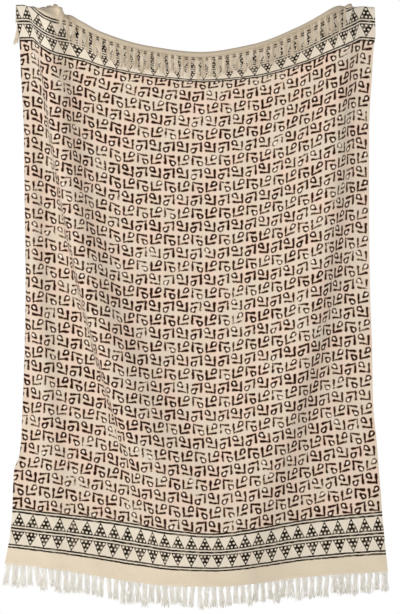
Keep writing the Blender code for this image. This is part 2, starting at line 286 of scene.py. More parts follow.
# %% [markdown]
# ## The hung surface
#
# Up the cloth, the shape is a heading, the angle that the cloth has from straight up. In the field it is near
# 0; in the border it leans towards the viewer; past the fold it turns over until the free edge points down.
# The sine of the heading, summed along the cloth, is how far it stands out, and the cosine how high it is.
#
# All of it is worked out on a grid of 2 mm steps, as whole arrays.

# %% The hung surface
FINE_STEP = 0.002


def hang_cloth():
    """The middle surface of the hung cloth: shares across, lengths along, and a point for each pair."""
    share = np.linspace(0.0, 1.0, round(CLOTH_WIDTH / FINE_STEP) + 1)[None, :]
    along = np.linspace(0.0, CLOTH_LENGTH, round(CLOTH_LENGTH / FINE_STEP) + 1)[:, None]
    step_across = CLOTH_WIDTH * (share[0, 1] - share[0, 0])
    step_along = along[1, 0] - along[0, 0]

    relief = sum(fold_relief(table, share, along) for table in (LEFT_FOLD, RIGHT_FOLD, EDGE_FOLD))
    rise = np.clip(np.gradient(relief, step_across, axis=1), -STEEPEST, STEEPEST)
    tuck = smooth_between(SIDES, "along", "tuck", along)
    tucked = np.clip(tuck / TUCK_ONSET, 0.0, 1.0)
    curl = SIDE_TURN * tucked * ease((tuck + SIDE_CURL / 2 - share * CLOTH_WIDTH) / SIDE_CURL)
    run = running_sum(np.sqrt(1 - rise**2) * np.cos(curl), step_across, axis=1)
    run = run - run.min(axis=1, keepdims=True)
    left = smooth_between(SIDES, "along", "left", along)
    right = smooth_between(SIDES, "along", "right", along)
    x = left + (right - left) * run / run[:, -1:]
    curled = running_sum(np.sin(curl), step_across, axis=1)
    forward = relief + curled - curled[:, -1:]

    line = smooth_between(UPPER_SECTIONS, "share", "line", share)
    lean = np.radians(smooth_between(UPPER_SECTIONS, "share", "lean", share))
    turn = np.radians(smooth_between(UPPER_SECTIONS, "share", "turn", share))
    fold_at = smooth_between(UPPER_SECTIONS, "share", "fold_at", share)
    above = UPPER_LINE - along
    past_fold = ease((above - fold_at) / FOLD_LENGTH)
    crush = smooth_between(UPPER_SECTIONS, "share", "crush", share)
    kept = 1 - (1 - crush) * past_fold
    over = lean + (turn - lean) * past_fold
    heading = np.where(above >= 0, over, lean * np.exp(np.minimum(above, 0.0) / COWL_FADE))
    outward = running_sum(np.sin(heading) * kept, step_along, axis=0)
    forward = forward + outward[-1:] - outward
    depth_share = np.clip(-above / (CLOTH_LENGTH - UPPER_LINE), 0.0, 1.0)
    forward = forward - BELLY * np.sin(math.pi * depth_share) * (1 - (2 * share - 1) ** 2)

    height = running_sum(np.cos(heading) * kept, step_along, axis=0)
    upper_row = int(round(UPPER_LINE / step_along))
    lower_row = int(round(LOWER_LINE / step_along))
    middle_row = int(round((UPPER_LINE + MIDDLE_ROW * PRINT_CELL) / step_along))
    low = smooth_between(LOWER_SECTIONS, "share", "line", share)
    hem = smooth_between(LOWER_SECTIONS, "share", "hem", share)
    middle = smooth_between(LOWER_SECTIONS, "share", "middle", share)
    below = height - height[upper_row:upper_row + 1]
    way = below / below[lower_row:lower_row + 1]
    middle_way = way[middle_row:middle_row + 1]
    bow = middle - line - (low - line) * middle_way
    field = -line - (low - line) * way - bow * way * (1 - way) / (middle_way * (1 - middle_way))
    end = -low - (hem - low) * (along - LOWER_LINE) / (CLOTH_LENGTH - LOWER_LINE)
    z = np.where(along < UPPER_LINE, -line - below, np.where(along > LOWER_LINE, end, field))

    points = np.stack([x, -forward, z], axis=2)
    return share[0], along[:, 0], points


share_fine, along_fine, hung = hang_cloth()
print("fine grid:", hung.shape[:2])

# %% [markdown]
# ## The cloth's mesh
#
# The mesh takes every few rows and columns of the fine grid: closer at the two top corners, where the cloth
# turns sharply, and wider in the calm field. Solidify then gives the sheet its thickness. The UV map holds
# the flat cloth, so the print can be drawn in metres on it.
#
# The back gets a material of its own, because a block print shows there only faintly, and because its plain
# ends are darker with painted shade, for the shade on the rolled top, where the back of the plain end faces
# out.

# %% Cloth mesh
COLUMN_BANDS = [(0.00, 0.20, 42), (0.20, 0.80, 88), (0.80, 1.00, 42)]
ROW_BANDS = [(0.0, UPPER_LINE, 48), (UPPER_LINE, CLOTH_LENGTH, 200)]


def banded(bands):
    """Stops that divide each band evenly."""
    stops = [np.linspace(start, end, count, endpoint=False) for start, end, count in bands]
    return np.concatenate(stops + [[bands[-1][1]]])


def nearest(values, stops):
    """The index of the fine value nearest to each stop."""
    return np.abs(values[None, :] - stops[:, None]).argmin(axis=1)


def grid_faces(rows, columns):
    """The quads of a grid of points, row by row."""
    corner = (np.arange(rows - 1)[:, None] * columns + np.arange(columns - 1)[None, :]).ravel()
    return np.stack([corner, corner + columns, corner + columns + 1, corner + 1], axis=1)


def mesh_from(name, points, faces):
    """A new object at the origin from an array of points and an array of quads."""
    mesh = bpy.data.meshes.new(name)
    mesh.from_pydata(points.reshape(-1, 3).tolist(), [], faces.tolist())
    mesh.update()
    mesh.shade_smooth()
    obj = bpy.data.objects.new(name, mesh)
    bpy.context.scene.collection.objects.link(obj)
    return obj


LARGE_FACES_ONLY = 100
FLAT_MAP = "flat cloth"
SLIP_ATTRIBUTE = "border slip"


def map_flat(obj, across, down):
    """A UV map from two numbers per vertex: U runs across the cloth and V down it, both from 0 to 1."""
    layer = obj.data.uv_layers.new(name=FLAT_MAP)
    vertex = np.empty(len(obj.data.loops), dtype=np.int64)
    obj.data.loops.foreach_get("vertex_index", vertex)
    layer.data.foreach_set("uv", np.stack([across[vertex], down[vertex]], axis=1).ravel())


def store_slip(obj, share, down):
    """How far the nearer border's print is set aside, as one number per vertex."""
    upper = smooth_between(BORDER_SLIPS, "share", "upper", share)
    lower = smooth_between(BORDER_SLIPS, "share", "lower", share)
    layer = obj.data.attributes.new(SLIP_ATTRIBUTE, "FLOAT", "POINT")
    layer.data.foreach_set("value", np.where(down < 0.5, upper, lower))


def keep_faces_flat(obj):
    """Shades by the large faces, so that the thin rim doesn't darken the last row beside it."""
    weighted = obj.modifiers.new("Flat faces", "WEIGHTED_NORMAL")
    weighted.weight = LARGE_FACES_ONLY


columns = nearest(share_fine, banded(COLUMN_BANDS))
rows = nearest(along_fine, banded(ROW_BANDS))
cloth_points = hung[rows][:, columns]
cloth = mesh_from("throw_cloth", cloth_points, grid_faces(len(rows), len(columns)))
across_grid, down_grid = np.meshgrid(share_fine[columns], along_fine[rows] / CLOTH_LENGTH)
map_flat(cloth, across_grid.ravel(), down_grid.ravel())
store_slip(cloth, across_grid.ravel(), down_grid.ravel())
wall = cloth.modifiers.new("Thickness", "SOLIDIFY")
wall.thickness = CLOTH_THICKNESS
wall.offset = 0.0
wall.use_even_offset = True
wall.material_offset = 1
keep_faces_flat(cloth)
print("cloth quads:", len(cloth.data.polygons))

# %% [markdown]
# ## The fringe
#
# The fringe is not sewn on. The weaver leaves the last threads of the warp unwoven, and they are bunched into
# strands. A strand is broad where it leaves the cloth, narrow below, and flares into a soft brush at its end.
#
# Each strand is made of eighteen thin yarns wound round each other. A yarn is a small tube: a five-sided
# profile carried along a path. The strand's own path leaves the edge along the cloth and soon droops straight
# down. All yarns of all strands are computed at once, as one array of points.

# %% Fringe sizes, metres
STRANDS = 54
STRAND_LENGTH = 0.075
STRAND_LENGTH_SPREAD = 0.010
STRAND_SWAY = 0.005
FIRST_STRAND_SWAY = -0.012
ROOT_STRIP = 0.006
STRIP_THICKNESS = 0.0014
STRIP_OVERLAP = 0.0015
SEAM_GAP = 0.0013
DROOP_LENGTH = 0.011
FRINGE_SEED = 7
VISIBLE_SWAY = 0.004
YARNS = 18
YARN_RADIUS = 0.0013
YARN_SIDES = 5
YARN_RINGS = 14
YARN_WAVE = 0.0009
SHORTEST_YARN = 0.84
STRAND_TWIST = math.radians(300)
BUNDLE_PLACES = np.array([0.0, 0.10, 0.28, 0.60, 0.85, 1.0])
BUNDLE_HALF_WIDTHS = np.array([0.0112, 0.0084, 0.0068, 0.0082, 0.0105, 0.0118])
BUNDLE_FULLNESS = (0.78, 1.15)
HEM_SPREAD = 1.35
BUNDLE_FLATNESS = 0.35
SWAY_POWER = 1.5
YARN_REACH = (0.2, 1.0)
YARN_WAVE_TURNS = (1.0, 2.5)
TWIST_FADE = 2.5
YARN_TIP = 0.3


# %% Strand paths
def strand_paths(starts, outwards, lengths, sways, steps):
    """Points down every strand: the heading eases from the cloth's own direction to straight down.

    heading = leaving + (falling - leaving) * (1 - e^(-distance / droop length)). Its sine and cosine are
    summed down the strand. Sideways, the strand sways as a power of the way down.
    """
    leaving = np.arctan2(-outwards[:, 1], outwards[:, 2])[:, None]
    falling = np.where(leaving >= 0, math.pi, -math.pi)
    distance = lengths[:, None] * steps[None, :]
    heading = leaving + (falling - leaving) * (1 - np.exp(-distance / DROOP_LENGTH))
    forward = running_sum(np.sin(heading), steps[1], axis=1) * lengths[:, None]
    upward = running_sum(np.cos(heading), steps[1], axis=1) * lengths[:, None]
    sideways = sways[:, None] * steps[None, :] ** SWAY_POWER
    return np.stack([sideways, -forward, upward], axis=2) + starts[:, None, :]


# %% Yarns in a strand
def bundle(paths, across, spread, rng):
    """Yarn paths around each strand's path.

    Yarn k starts at its own angle round the strand and winds by the twist, most of it near the root. Its
    distance from the middle follows the strand's half width, flattened front to back. Some yarns are cut
    shorter than others, which makes the end a brush.
    """
    strands, steps = paths.shape[:2]
    t = np.linspace(0.0, 1.0, steps)
    fullness = spread * rng.uniform(*BUNDLE_FULLNESS, (strands, 1, 1))
    half_width = np.interp(t, BUNDLE_PLACES, BUNDLE_HALF_WIDTHS) * fullness
    turn_of = 2 * math.pi * np.arange(YARNS) / YARNS + rng.uniform(0, 2 * math.pi, (strands, 1))
    reach = rng.uniform(*YARN_REACH, (strands, YARNS, 1))
    way = rng.choice([-1.0, 1.0], (strands, 1, 1))
    angle = turn_of[:, :, None] + way * STRAND_TWIST * (1 - np.exp(-TWIST_FADE * t))
    wave = YARN_WAVE * np.sin(2 * math.pi * (rng.uniform(*YARN_WAVE_TURNS, (strands, YARNS, 1)) * t
                                             + rng.uniform(0, 1, (strands, YARNS, 1))))
    tangent = unit(np.gradient(paths, axis=1))
    depth = unit(np.cross(across[:, None, :], tangent))
    side = reach * half_width * np.cos(angle) + wave
    front = BUNDLE_FLATNESS * reach * half_width * np.sin(angle)

    place = t * rng.uniform(SHORTEST_YARN, 1.0, (strands, YARNS, 1)) * (steps - 1)
    before = np.minimum(place.astype(int), steps - 2)
    rest = (place - before)[..., None]
    strand = np.arange(strands)[:, None, None]
    middle = paths[strand, before] * (1 - rest) + paths[strand, before + 1] * rest
    return middle + across[:, None, None, :] * side[..., None] + depth[:, None, :, :] * front[..., None]


def tubes(paths, across):
    """Tubes of equal radius round paths of shape (tubes, rings, 3): points and quads, open at both ends.

    A ring is YARN_SIDES points round the path, at radius r, in the plane of the across direction and the
    direction square to it and to the path. The first ring and the last are narrower, like loose yarn ends.
    """
    count, rings = paths.shape[:2]
    tangent = unit(np.gradient(paths, axis=1))
    depth = unit(np.cross(across[:, None, :], tangent))
    wide = unit(np.cross(tangent, depth))
    radius = np.full(rings, YARN_RADIUS)
    radius[0] *= YARN_TIP
    radius[-1] *= YARN_TIP
    turn = 2 * math.pi * np.arange(YARN_SIDES) / YARN_SIDES
    points = (paths[:, :, None, :]
              + radius[None, :, None, None] * (np.cos(turn)[None, None, :, None] * wide[:, :, None, :]
                                               + np.sin(turn)[None, None, :, None] * depth[:, :, None, :]))
    tube = np.arange(count)[:, None, None] * rings * YARN_SIDES
    ring = np.arange(rings - 1)[None, :, None] * YARN_SIDES
    side = np.arange(YARN_SIDES)[None, None, :]
    beside = (side + 1) % YARN_SIDES
    faces = np.stack([tube + ring + side, tube + ring + beside,
                      tube + ring + YARN_SIDES + beside, tube + ring + YARN_SIDES + side], axis=3)
    return points.reshape(-1, 3), faces.reshape(-1, 4)


# %% Build both fringes
def make_fringe(name, edge, inward, shares, spread):
    """A narrow strip along the free edge with all its strands, as one mesh."""
    rng = np.random.default_rng(FRINGE_SEED)
    lengths = STRAND_LENGTH + STRAND_LENGTH_SPREAD * rng.uniform(-1, 1, STRANDS)
    sways = STRAND_SWAY * rng.uniform(-1, 1, STRANDS)
    sways[0] = FIRST_STRAND_SWAY
    sways[1:-1] += VISIBLE_SWAY * rng.uniform(-1, 1, STRANDS - 2)
    centres = (np.arange(STRANDS) + 0.5) / STRANDS

    outward = unit(edge - inward)
    along_edge = unit(np.gradient(edge, axis=0))
    thick = unit(np.cross(along_edge, outward)) * STRIP_THICKNESS / 2
    inner = edge - outward * STRIP_OVERLAP
    outer = edge + outward * (SEAM_GAP + ROOT_STRIP)
    ring = np.stack([inner + thick, inner - thick, outer - thick, outer + thick], axis=1)
    count = len(edge)
    a = 4 * np.arange(count - 1)[:, None]
    side = np.arange(4)[None, :]
    beside = (side + 1) % 4
    walls = np.stack([a + side, a + beside, a + 4 + beside, a + 4 + side], axis=2).reshape(-1, 4)
    last = 4 * (count - 1)
    caps = np.array([[3, 2, 1, 0], [last, last + 1, last + 2, last + 3]])
    strip_faces = np.concatenate([walls, caps])

    def at_centres(values):
        return np.stack([np.interp(centres, shares, values[:, axis]) for axis in range(3)], axis=1)

    starts = at_centres(outer)
    outwards = unit(at_centres(outward))
    across = unit(at_centres(along_edge))
    steps = np.linspace(0.0, 1.0, YARN_RINGS)
    paths = strand_paths(starts, outwards, lengths, sways, steps)
    yarn_paths = bundle(paths, across, spread, rng).reshape(-1, YARN_RINGS, 3)
    yarn_across = np.repeat(across, YARNS, axis=0)
    yarn_points, yarn_faces = tubes(yarn_paths, yarn_across)
    strip_points = ring.reshape(-1, 3)
    points = np.concatenate([strip_points, yarn_points])
    faces = np.concatenate([strip_faces, yarn_faces + len(strip_points)])
    fringe = mesh_from(name, points, faces)
    strip_share = np.repeat(shares, 4)
    map_flat(fringe, np.concatenate([strip_share, np.zeros(len(yarn_points))]), np.zeros(len(points)))
    is_yarn = (np.arange(len(faces)) >= len(strip_faces)).astype(np.int32)
    fringe.data.polygons.foreach_set("material_index", is_yarn)
    keep_faces_flat(fringe)
    print(name, "quads:", len(faces))
    return fringe


shares = share_fine[columns]
top_fringe = make_fringe("throw_top_fringe", cloth_points[0], cloth_points[1], shares, 1.0)
bottom_fringe = make_fringe("throw_bottom_fringe", cloth_points[-1], cloth_points[-2], shares, HEM_SPREAD)

# %% [markdown]
# ## Numbers on wires
#
# The print is drawn with shader nodes, in metres of flat cloth. A drawing like this needs a lot of small
# sums, so a wire of the node tree gets a small class: + - * / on wires each add one Math node. The formulas
# below then read like the ones above, though they make nodes.


# %% A number on a wire
class Wire:
    """A number that flows from one node to the next."""

    def __init__(self, tree, socket):
        self.tree = tree
        self.socket = socket

    def math(self, operation, *others):
        node = self.tree.nodes.new("ShaderNodeMath")
        node.operation = operation
        for place, value in enumerate((self, *others)):
            feed(self.tree, node.inputs[place], value)
        return Wire(self.tree, node.outputs[0])

    def __add__(self, other):
        return self.math("ADD", other)

    def __sub__(self, other):
        return self.math("SUBTRACT", other)

    def __mul__(self, other):
        return self.math("MULTIPLY", other)

    def __truediv__(self, other):
        return self.math("DIVIDE", other)

    def floor(self):
        return self.math("FLOOR")

    def fraction(self):
        return self.math("FRACT")

    def size(self):
        return self.math("ABSOLUTE")

    def at_least(self, other):
        return self.math("MAXIMUM", other)

    def at_most(self, other):
        return self.math("MINIMUM", other)

    def flipped(self):
        """1 - the number."""
        return self.math("MULTIPLY_ADD", -1.0, 1.0)

    def rising(self, low, high):
        """0 below low, 1 above high, and a soft S between."""
        node = self.tree.nodes.new("ShaderNodeMapRange")
        node.interpolation_type = "SMOOTHSTEP"
        feed(self.tree, node.inputs["Value"], self)
        feed(self.tree, node.inputs["From Min"], low)
        feed(self.tree, node.inputs["From Max"], high)
        return Wire(self.tree, node.outputs["Result"])


def feed(tree, socket, value):
    """Puts a wire or a plain value into a socket."""
    if isinstance(value, Wire):
        tree.links.new(value.socket, socket)
    else:
        socket.default_value = value


def pick(when, one, other):
    """one where the wire when is 1, and other where it is 0."""
    return when * (one - other) + other


# %% [markdown]
# ## Colours
#
# Colours are named once, as the eye sees them on a screen (0 to 255), and turned into the linear numbers that
# a shader needs.

# %% Colours
def seen(red, green, blue):
    """A colour as seen on a screen, as linear light."""
    level = np.array([red, green, blue]) / 255
    linear = np.where(level <= 0.04045, level / 12.92, ((level + 0.055) / 1.055) ** 2.4)
    return (*linear.tolist(), 1.0)


FIELD_GROUND = seen(236, 217, 198)
DRY_GROUND = seen(232, 219, 200)
PINK_GROUND = seen(242, 216, 198)
RING_HOLE = seen(255, 247, 235)
BORDER_GROUND = seen(240, 230, 212)
PLAIN_COTTON = seen(239, 225, 201)
# Painted shade: the back's plain cloth is darker than the front's, for the shade on the rolled top.
PLAIN_BACK_WITH_PAINTED_SHADE = seen(206, 191, 168)
FIELD_INK = seen(42, 15, 0)
FADED_INK = seen(104, 75, 38)
BORDER_INK = seen(30, 19, 4)
FADED_BORDER_INK = seen(80, 63, 38)
INK_HALO = seen(170, 120, 88)
CLOUD_SHADE = seen(214, 194, 170)
SLUB_SHADE = seen(196, 178, 154)
# Painted shade: the top fringe's yarn is darker and browner than the bottom fringe's, for the shade under the
# rolled top.
PAINTED_SHADE_TOP_FRINGE = seen(234, 220, 200)
PAINTED_SHADE_TOP_FRINGE_STREAK = seen(188, 170, 142)
BOTTOM_YARN = seen(255, 253, 247)
BOTTOM_YARN_SHADE = seen(246, 242, 230)
FLOOR_COLOUR = seen(235, 233, 229)

# %% [markdown]
# ## The print
#
# The field repeats every 47 mm: an L of two clubs, and a drop with a hole in it between the two arms. The
# printer turns the block over from column to column and from row to row, so the L's corner is at the bottom
# in one column and at the top in the next, and at the left in one row and at the right in the next. In the
# shader that is one drawing, with the place in the cell mirrored by whether the row and column are even.
#
# Each club is drawn by its distance: the distance to a line between two points, less a radius that grows from
# one point to the other. Ink is where the distance is below 0. Hand printing is uneven, so the place in the
# cell is shaken a little by noise, and the ink thins out in patches.

# %% Print sizes
RIGHT_MARGIN = 0.002
PRINT_LIFT = 0.004
TRIANGLES = 28
TRIANGLE_MARGIN = 0.006
LINE_THICKNESS = 0.0058
LINE_OFFSET = 0.0047
MIDDLE_BAND = 0.0034
BASE_LINE = 0.0082
TRIANGLE_HEIGHT = 0.0475
DOT_RADIUS = 0.0035
DOT_ROWS = [(0.0072, 3), (0.0203, 2), (0.0334, 1)]
DOT_SPACING = 0.0132
FIELD_SHAKE = 0.005
FIELD_SHAKE_SCALE = 95.0
BORDER_SHAKE = 0.004
BORDER_SHAKE_SCALE = 60.0
TRIANGLE_SOFTNESS = 0.002
TRIANGLE_BASE_SOFTNESS = 0.0006
DOT_SOFTNESS = 0.0009
BAND_SOFTNESS = 0.0008
LINE_SOFTNESS = 0.0007
THIN_LINE_EDGE = (0.0004, 0.0014)
THIN_LINE_INK = 0.7

# %% The motif's parts in shares of a cell: start, end, and the radius at each
UPRIGHT_CLUB = ((0.195, 0.15), (0.205, 0.75), 0.050, 0.084)
LEVEL_CLUB = ((0.26, 0.170), (0.81, 0.265), 0.038, 0.084)
DROP = ((0.555, 0.545), (0.745, 0.725), 0.084, 0.222)
HOLE = ((0.715, 0.695), (0.780, 0.760), 0.095, 0.100)
INK_SOFTNESS = 0.022
HALO_EDGE = (-0.01, 0.07)
OPENING_EDGE = (-0.06, 0.02)

# %% How wet the ink was
PATCH_SCALE = 13.0
PATCH_SHARE = 0.8
BLOTCH_SCALE = 85.0
BLOTCH_SHARE = 1.6
CELL_SHARE = 0.25
DRYNESS = 0.66
WET_MIDDLE = 0.6
SWELL = 0.065


def club(x, y, start, end, thin, fat):
    """Distance to a club: a bar from start to end whose radius grows from thin to fat."""
    dx = end[0] - start[0]
    dy = end[1] - start[1]
    from_x = x - start[0]
    from_y = y - start[1]
    t = ((from_x * dx + from_y * dy) / (dx * dx + dy * dy)).at_least(0.0).at_most(1.0)
    off_x = from_x - t * dx
    off_y = from_y - t * dy
    return (off_x * off_x + off_y * off_y).math("SQRT") - (t * (fat - thin) + thin)


def noise(tree, place, scale, detail=2.0):
    """Smooth noise round 0.5 at a place."""
    node = tree.nodes.new("ShaderNodeTexNoise")
    node.inputs["Scale"].default_value = scale
    node.inputs["Detail"].default_value = detail
    tree.links.new(place, node.inputs["Vector"])
    return node


def combine(tree, x, y):
    """A vector from two numbers, with z = 0."""
    node = tree.nodes.new("ShaderNodeCombineXYZ")
    feed(tree, node.inputs[0], x)
    feed(tree, node.inputs[1], y)
    return node.outputs[0]


def blend_colour(tree, share, under, over):
    """The colour over laid on the colour under, by a share from 0 to 1."""
    node = tree.nodes.new("ShaderNodeMix")
    node.data_type = "RGBA"
    feed(tree, node.inputs["Factor"], share)
    for name, value in (("A", under), ("B", over)):
        socket = next(s for s in node.inputs if s.name == name and s.type == "RGBA")
        if isinstance(value, tuple):
            socket.default_value = value
        else:
            tree.links.new(value, socket)
    return next(s for s in node.outputs if s.type == "RGBA")


# %% The field's motif
def field_ink(tree, across, down):
    """The field's ink, the halo round it and the drops' holes, 0 to 1, with how wet and patchy it is."""
    plane = combine(tree, across, down)
    shake = noise(tree, plane, FIELD_SHAKE_SCALE)
    split = tree.nodes.new("ShaderNodeSeparateColor")
    tree.links.new(shake.outputs["Color"], split.inputs[0])
    shake_x = (Wire(tree, split.outputs[0]) - 0.5) * FIELD_SHAKE
    shake_y = (Wire(tree, split.outputs[1]) - 0.5) * FIELD_SHAKE

    from_right = ((across * -1.0) + (CLOTH_WIDTH - RIGHT_MARGIN) + shake_x) / PRINT_CELL
    from_top = (down + (PRINT_LIFT - UPPER_LINE) + shake_y) / PRINT_CELL
    column = from_right.floor()
    row = from_top.floor()
    odd_column = (column * 0.5).fraction() * 2.0
    odd_row = (row * 0.5).fraction() * 2.0
    a = pick(odd_row, from_right.fraction(), from_right.fraction().flipped())
    b = pick(odd_column, from_top.fraction(), from_top.fraction().flipped())

    upright = club(a, b, *UPRIGHT_CLUB)
    level = club(a, b, *LEVEL_CLUB)
    drop = club(a, b, *DROP)
    hole = club(a, b, *HOLE)
    ring = drop.at_least(hole * -1.0)
    distance = upright.at_most(level).at_most(ring)

    cell = combine(tree, column, row)
    chance = tree.nodes.new("ShaderNodeTexWhiteNoise")
    chance.noise_dimensions = "2D"
    tree.links.new(cell, chance.inputs["Vector"])
    per_cell = Wire(tree, chance.outputs["Value"])
    patches = Wire(tree, noise(tree, plane, PATCH_SCALE, 1.0).outputs["Fac"])
    blotches = Wire(tree, noise(tree, plane, BLOTCH_SCALE).outputs["Fac"])
    wet = patches * PATCH_SHARE + blotches * BLOTCH_SHARE + per_cell * CELL_SHARE - DRYNESS
    inside = (down.math("GREATER_THAN", UPPER_LINE) * from_top.math("LESS_THAN", FIELD_ROWS)
              * from_right.math("GREATER_THAN", 0.0))
    swell = (wet - WET_MIDDLE) * SWELL
    ink = (distance - swell).rising(-INK_SOFTNESS, INK_SOFTNESS).flipped() * inside
    halo = (distance - swell).rising(*HALO_EDGE).flipped() * inside
    opening = hole.rising(*OPENING_EDGE).flipped() * inside
    return ink, halo, opening, wet, patches


# %% The border's triangles
def border_ink(tree, across, down):
    """Ink of both borders, 0 to 1: dotted triangles back to back on a band, and a double line each side."""
    plane = combine(tree, across, down)
    shake = noise(tree, plane, BORDER_SHAKE_SCALE)
    split = tree.nodes.new("ShaderNodeSeparateColor")
    tree.links.new(shake.outputs["Color"], split.inputs[0])
    u = across + (Wire(tree, split.outputs[0]) - 0.5) * BORDER_SHAKE
    v = down + (Wire(tree, split.outputs[1]) - 0.5) * BORDER_SHAKE
    upper = down.math("LESS_THAN", (UPPER_LINE + LOWER_LINE) / 2)
    middle = pick(upper, PLAIN_END + BORDER_DEPTH / 2, LOWER_LINE + BORDER_DEPTH / 2)
    y = (v - middle).size()
    set_aside = tree.nodes.new("ShaderNodeAttribute")
    set_aside.attribute_name = SLIP_ATTRIBUTE
    slip = Wire(tree, set_aside.outputs["Fac"])
    pitch = (CLOTH_WIDTH - 2 * TRIANGLE_MARGIN) / TRIANGLES
    x = ((u - slip - TRIANGLE_MARGIN) / pitch).fraction() * pitch - pitch / 2
    height = y - BASE_LINE
    side = x.size() * (TRIANGLE_HEIGHT / (pitch / 2)) + height - TRIANGLE_HEIGHT
    triangle = (side.rising(-TRIANGLE_SOFTNESS, TRIANGLE_SOFTNESS).flipped()
                * height.rising(-TRIANGLE_BASE_SOFTNESS, TRIANGLE_BASE_SOFTNESS))
    dots = None
    for row_height, count in DOT_ROWS:
        step = (x / DOT_SPACING + (0.5 if count % 2 else 0.0)).fraction() * DOT_SPACING - DOT_SPACING / 2
        near = x.size().math("LESS_THAN", count * DOT_SPACING / 2)
        rise = height - row_height
        distance = (step * step + rise * rise).math("SQRT")
        dot = distance.rising(DOT_RADIUS - DOT_SOFTNESS, DOT_RADIUS + DOT_SOFTNESS).flipped() * near
        dots = dot if dots is None else dots.at_least(dot)
    triangle = triangle * dots.flipped()
    band = y.rising(MIDDLE_BAND - BAND_SOFTNESS, MIDDLE_BAND + BAND_SOFTNESS).flipped()
    base = (y - BASE_LINE).size().rising(*THIN_LINE_EDGE).flipped()
    from_edge = (y - BORDER_DEPTH / 2).size()
    double = (from_edge - LINE_OFFSET).size()
    lines = double.rising(LINE_THICKNESS / 2 - LINE_SOFTNESS, LINE_THICKNESS / 2 + LINE_SOFTNESS).flipped()
    return triangle.at_least(band).at_least(base * THIN_LINE_INK).at_least(lines), y


# %% [markdown]
# ## The cotton
#
# Handloom cotton is matt and slightly uneven. Its threads are too fine to see from a step away, but they show
# close up, so they are bump: two waves at right angles, one for the warp and one for the weft, with noise for
# the slubs. The fine waves are read from the UV map in metres, so they follow the cloth round every fold.

# %% Cotton material
THREAD = 0.0016
SLUB_SCALE = 160.0
SLUB_STRETCH = 2.2
SLUB_START = 0.5
SLUB_STRENGTH = 0.9
SLUB_RELIEF = 1.6
CLOUD_SCALE = 11.0
CLOUD_START = 0.42
CLOUD_STRENGTH = 0.7
CRINKLE_SCALE = 34.0
CRINKLE_STRETCH = 0.45
GREY_PATCHES = (0.36, 0.52)
PINK_PATCHES = (0.48, 0.64)
PINK_STRENGTH = 0.7
OPENING_STRENGTH = 0.8
HALO_WETNESS = (0.2, 0.8)
HALO_STRENGTH = 0.55
DYE_WETNESS = (0.2, 0.75)
HOLD_WETNESS = (0.06, 0.42)
BORDER_WET_SCALE = 48.0
BORDER_WETNESS = (0.25, 0.55)
BORDER_FADE = 0.25
BORDER_GROUND_MARGIN = 0.003
LINES_MARGIN = 0.008
BACK_PRINT_STRENGTH = 0.28


def in_border_or_lines(from_middle):
    """1 within the border and its outer double lines."""
    return from_middle.math("LESS_THAN", BORDER_DEPTH / 2 + LINE_OFFSET + LINE_THICKNESS)


